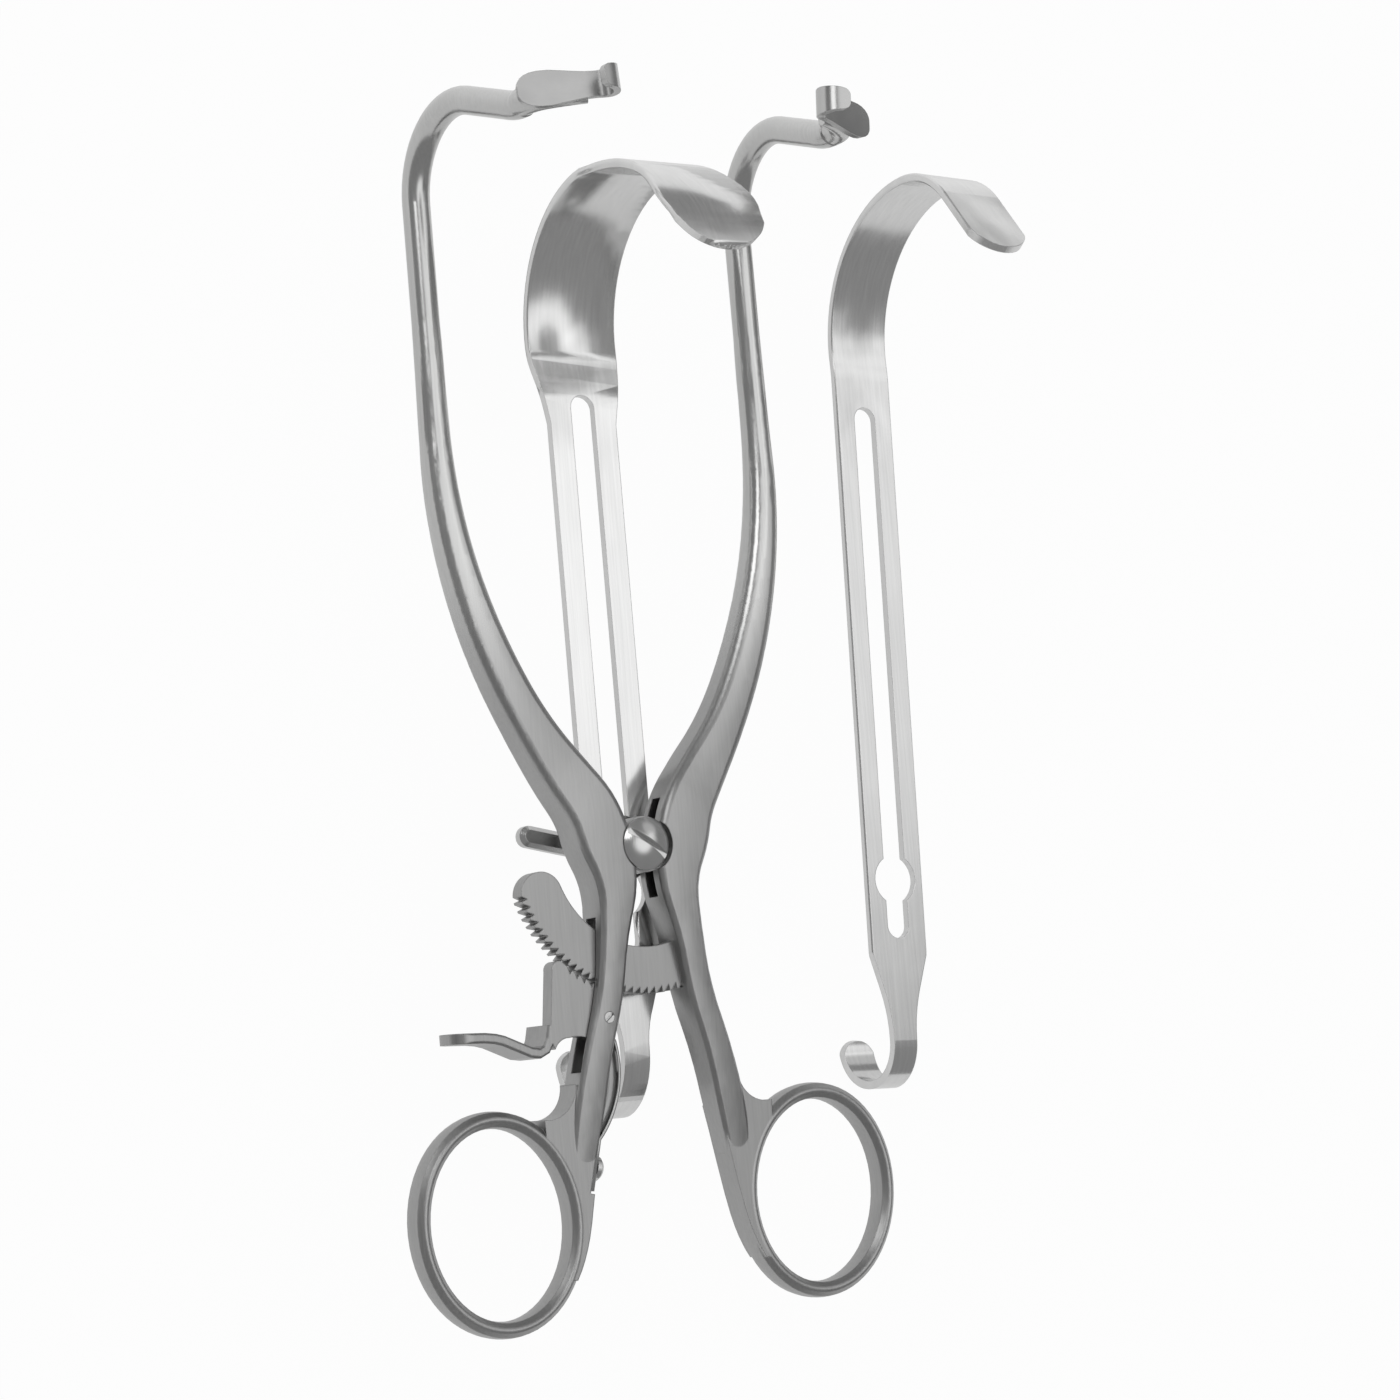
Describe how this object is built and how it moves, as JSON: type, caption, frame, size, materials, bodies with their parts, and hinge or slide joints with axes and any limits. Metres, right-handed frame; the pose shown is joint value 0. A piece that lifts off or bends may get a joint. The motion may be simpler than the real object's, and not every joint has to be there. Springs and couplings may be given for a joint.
{
  "type": "self retaining retractor",
  "caption": "Hand-held self-retaining bladder retractor: two ringed arms with side blades, a ratchet catch and a sliding hooked centre blade, with a loose spare blade.",
  "frame": {"origin": "on the pivot axis, in the front face of the joint", "axes": "+Z along the pivot axis out of the front face; +Y along the instrument from the finger rings towards the blades; +X to the side of the right arm and the spare blade"},
  "size_m": [0.1376, 0.2377, 0.0895],
  "materials": {
    "satin_steel": "satin brushed stainless steel of the handles, joint and ratchet",
    "polished_steel": "bright polished stainless steel of the side blades and the leaf spring",
    "blade_steel": "finely polished stainless steel of the hooked blades",
    "screw_steel": "turned stainless steel of screws, pin, washer and wing nut"
  },
  "bodies": {
    "screw": {"pivot_screw": "screw_steel"},
    "right_arm": {"right_member": "satin_steel", "right_side_blade": "polished_steel", "ratchet_rack": "satin_steel"},
    "left_arm": {"left_member": "satin_steel", "left_side_blade": "polished_steel", "pawl_pin": "screw_steel", "pawl_spring": "polished_steel", "spring_screw": "screw_steel"},
    "pawl": {"pawl": "satin_steel"},
    "washer": {"spacer_washer": "screw_steel"},
    "centre_blade": {"centre_blade": "blade_steel"},
    "wing_nut": {"wing_nut": "screw_steel"},
    "spare_blade": {"spare_blade": "blade_steel"}
  },
  "joints": [
    {"name": "right_arm_hinge", "type": "hinge", "parent": "screw", "child": "right_arm", "pos_m": [0, 0, 0], "axis": [0, 0, 1], "range_deg": [-12, 4.5]},
    {"name": "left_arm_hinge", "type": "hinge", "parent": "screw", "child": "left_arm", "pos_m": [0, 0, 0], "axis": [0, 0, 1], "range_deg": [-4.5, 12]},
    {"name": "pawl_hinge", "type": "hinge", "parent": "left_arm", "child": "pawl", "pos_m": [-0.01125, -0.0333, -0.005], "axis": [0, 0, 1], "range_deg": [0, 12], "stiffness_Nm_per_rad": 0.05, "springref_deg": -5.73, "deforming": ["pawl_spring"]},
    {"name": "blade_swing", "type": "hinge", "parent": "screw", "child": "washer", "pos_m": [0, 0, 0], "axis": [0, 0, 1], "range_deg": [-3, 3]},
    {"name": "blade_slide", "type": "slide", "parent": "washer", "child": "centre_blade", "axis": [0, 1, 0], "range_m": [-0.084, 0.012]},
    {"name": "nut_turn", "type": "hinge", "parent": "screw", "child": "wing_nut", "pos_m": [0, 0, 0], "axis": [0, 0, 1], "continuous": true},
    {"name": "spare_lift", "type": "slide", "parent": "screw", "child": "spare_blade", "axis": [0, 0, 1], "range_m": [0, 0.05]}
  ],
  "couplings": [
    {"joint": "left_arm_hinge", "follows": "right_arm_hinge", "ratio": -1}
  ]
}
